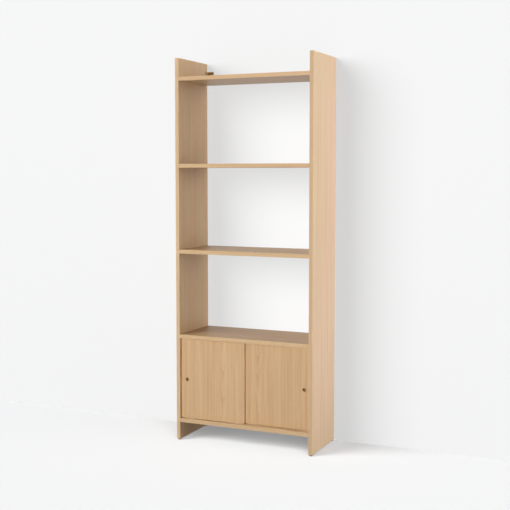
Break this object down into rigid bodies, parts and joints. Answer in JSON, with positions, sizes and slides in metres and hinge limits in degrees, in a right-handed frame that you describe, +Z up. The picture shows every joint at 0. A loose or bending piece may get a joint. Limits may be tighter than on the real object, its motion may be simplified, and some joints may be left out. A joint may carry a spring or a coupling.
{
  "type": "sliding door cabinet",
  "caption": "Tall open shelving unit in oak veneer with full-height side panels and a low cabinet closed by bypass sliding doors with flush round pulls.",
  "frame": {"origin": "on the floor under the middle of the case, at the bottom of the glides", "axes": "+X to the right of someone who faces the doors, +Y from the doors back to the wall, +Z up"},
  "size_m": [0.756, 0.325, 1.98],
  "materials": {
    "oak_veneer": "matt clear lacquer over oak veneer",
    "hardboard": "smooth hardboard",
    "brown_plastic": "satin extruded plastic",
    "black_plastic": "satin moulded plastic",
    "white_nylon": "satin moulded nylon",
    "zinc_steel": "zinc plated",
    "antique_brass": "darkened satin brass"
  },
  "bodies": {
    "root": {"left_side_panel": "oak_veneer", "right_side_panel": "oak_veneer", "top_shelf": "oak_veneer", "upper_shelf": "oak_veneer", "middle_shelf": "oak_veneer", "cabinet_top": "oak_veneer", "cabinet_base": "oak_veneer", "cabinet_back": "hardboard", "upper_door_track": "brown_plastic", "lower_door_track": "brown_plastic", "glide_left_front": "black_plastic", "glide_left_back": "black_plastic", "glide_right_front": "black_plastic", "glide_right_back": "black_plastic", "left_wall_bracket": "antique_brass", "right_wall_bracket": "antique_brass", "left_bracket_screw_lower": "zinc_steel", "left_bracket_screw_upper": "zinc_steel", "right_bracket_screw_lower": "zinc_steel", "right_bracket_screw_upper": "zinc_steel", "top_shelf_cam_left_front": "zinc_steel", "top_shelf_cam_left_back": "zinc_steel", "top_shelf_cam_right_front": "zinc_steel", "top_shelf_cam_right_back": "zinc_steel", "upper_shelf_cam_left_front": "zinc_steel", "upper_shelf_cam_left_back": "zinc_steel", "upper_shelf_cam_right_front": "zinc_steel", "upper_shelf_cam_right_back": "zinc_steel", "middle_shelf_cam_left_front": "zinc_steel", "middle_shelf_cam_left_back": "zinc_steel", "middle_shelf_cam_right_front": "zinc_steel", "middle_shelf_cam_right_back": "zinc_steel", "cabinet_top_cam_left_front": "zinc_steel", "cabinet_top_cam_left_back": "zinc_steel", "cabinet_top_cam_right_front": "zinc_steel", "cabinet_top_cam_right_back": "zinc_steel", "cabinet_base_cam_left_front": "zinc_steel", "cabinet_base_cam_left_back": "zinc_steel", "cabinet_base_cam_right_front": "zinc_steel", "cabinet_base_cam_right_back": "zinc_steel"},
    "left_door": {"left_door_panel": "oak_veneer", "left_door_pull": "antique_brass", "left_door_carrier_left": "white_nylon", "left_door_axle_left": "zinc_steel", "left_door_guide_left": "white_nylon", "left_door_carrier_right": "white_nylon", "left_door_axle_right": "zinc_steel", "left_door_guide_right": "white_nylon"},
    "left_door_wheel_left": {"left_door_wheel_left": "white_nylon"},
    "left_door_wheel_right": {"left_door_wheel_right": "white_nylon"},
    "right_door": {"right_door_panel": "oak_veneer", "right_door_pull": "antique_brass", "right_door_carrier_left": "white_nylon", "right_door_axle_left": "zinc_steel", "right_door_guide_left": "white_nylon", "right_door_carrier_right": "white_nylon", "right_door_axle_right": "zinc_steel", "right_door_guide_right": "white_nylon"},
    "right_door_wheel_left": {"right_door_wheel_left": "white_nylon"},
    "right_door_wheel_right": {"right_door_wheel_right": "white_nylon"}
  },
  "joints": [
    {"name": "left_door_slide", "type": "slide", "parent": "root", "child": "left_door", "axis": [1, 0, 0], "range_m": [0, 0.353]},
    {"name": "left_door_roll_left", "type": "hinge", "parent": "left_door", "child": "left_door_wheel_left", "pos_m": [-0.312, -0.1375, 0.1213], "axis": [0, 1, 0], "continuous": true},
    {"name": "left_door_roll_right", "type": "hinge", "parent": "left_door", "child": "left_door_wheel_right", "pos_m": [-0.041, -0.1375, 0.1213], "axis": [0, 1, 0], "continuous": true},
    {"name": "right_door_slide", "type": "slide", "parent": "root", "child": "right_door", "axis": [-1, 0, 0], "range_m": [0, 0.353]},
    {"name": "right_door_roll_left", "type": "hinge", "parent": "right_door", "child": "right_door_wheel_left", "pos_m": [0.041, -0.1195, 0.1213], "axis": [0, 1, 0], "continuous": true},
    {"name": "right_door_roll_right", "type": "hinge", "parent": "right_door", "child": "right_door_wheel_right", "pos_m": [0.312, -0.1195, 0.1213], "axis": [0, 1, 0], "continuous": true}
  ],
  "couplings": [
    {"joint": "left_door_roll_left", "follows": "left_door_slide", "rad_per_m": 133.33},
    {"joint": "left_door_roll_right", "follows": "left_door_slide", "rad_per_m": 133.33},
    {"joint": "right_door_roll_left", "follows": "right_door_slide", "rad_per_m": -133.33},
    {"joint": "right_door_roll_right", "follows": "right_door_slide", "rad_per_m": -133.33}
  ]
}
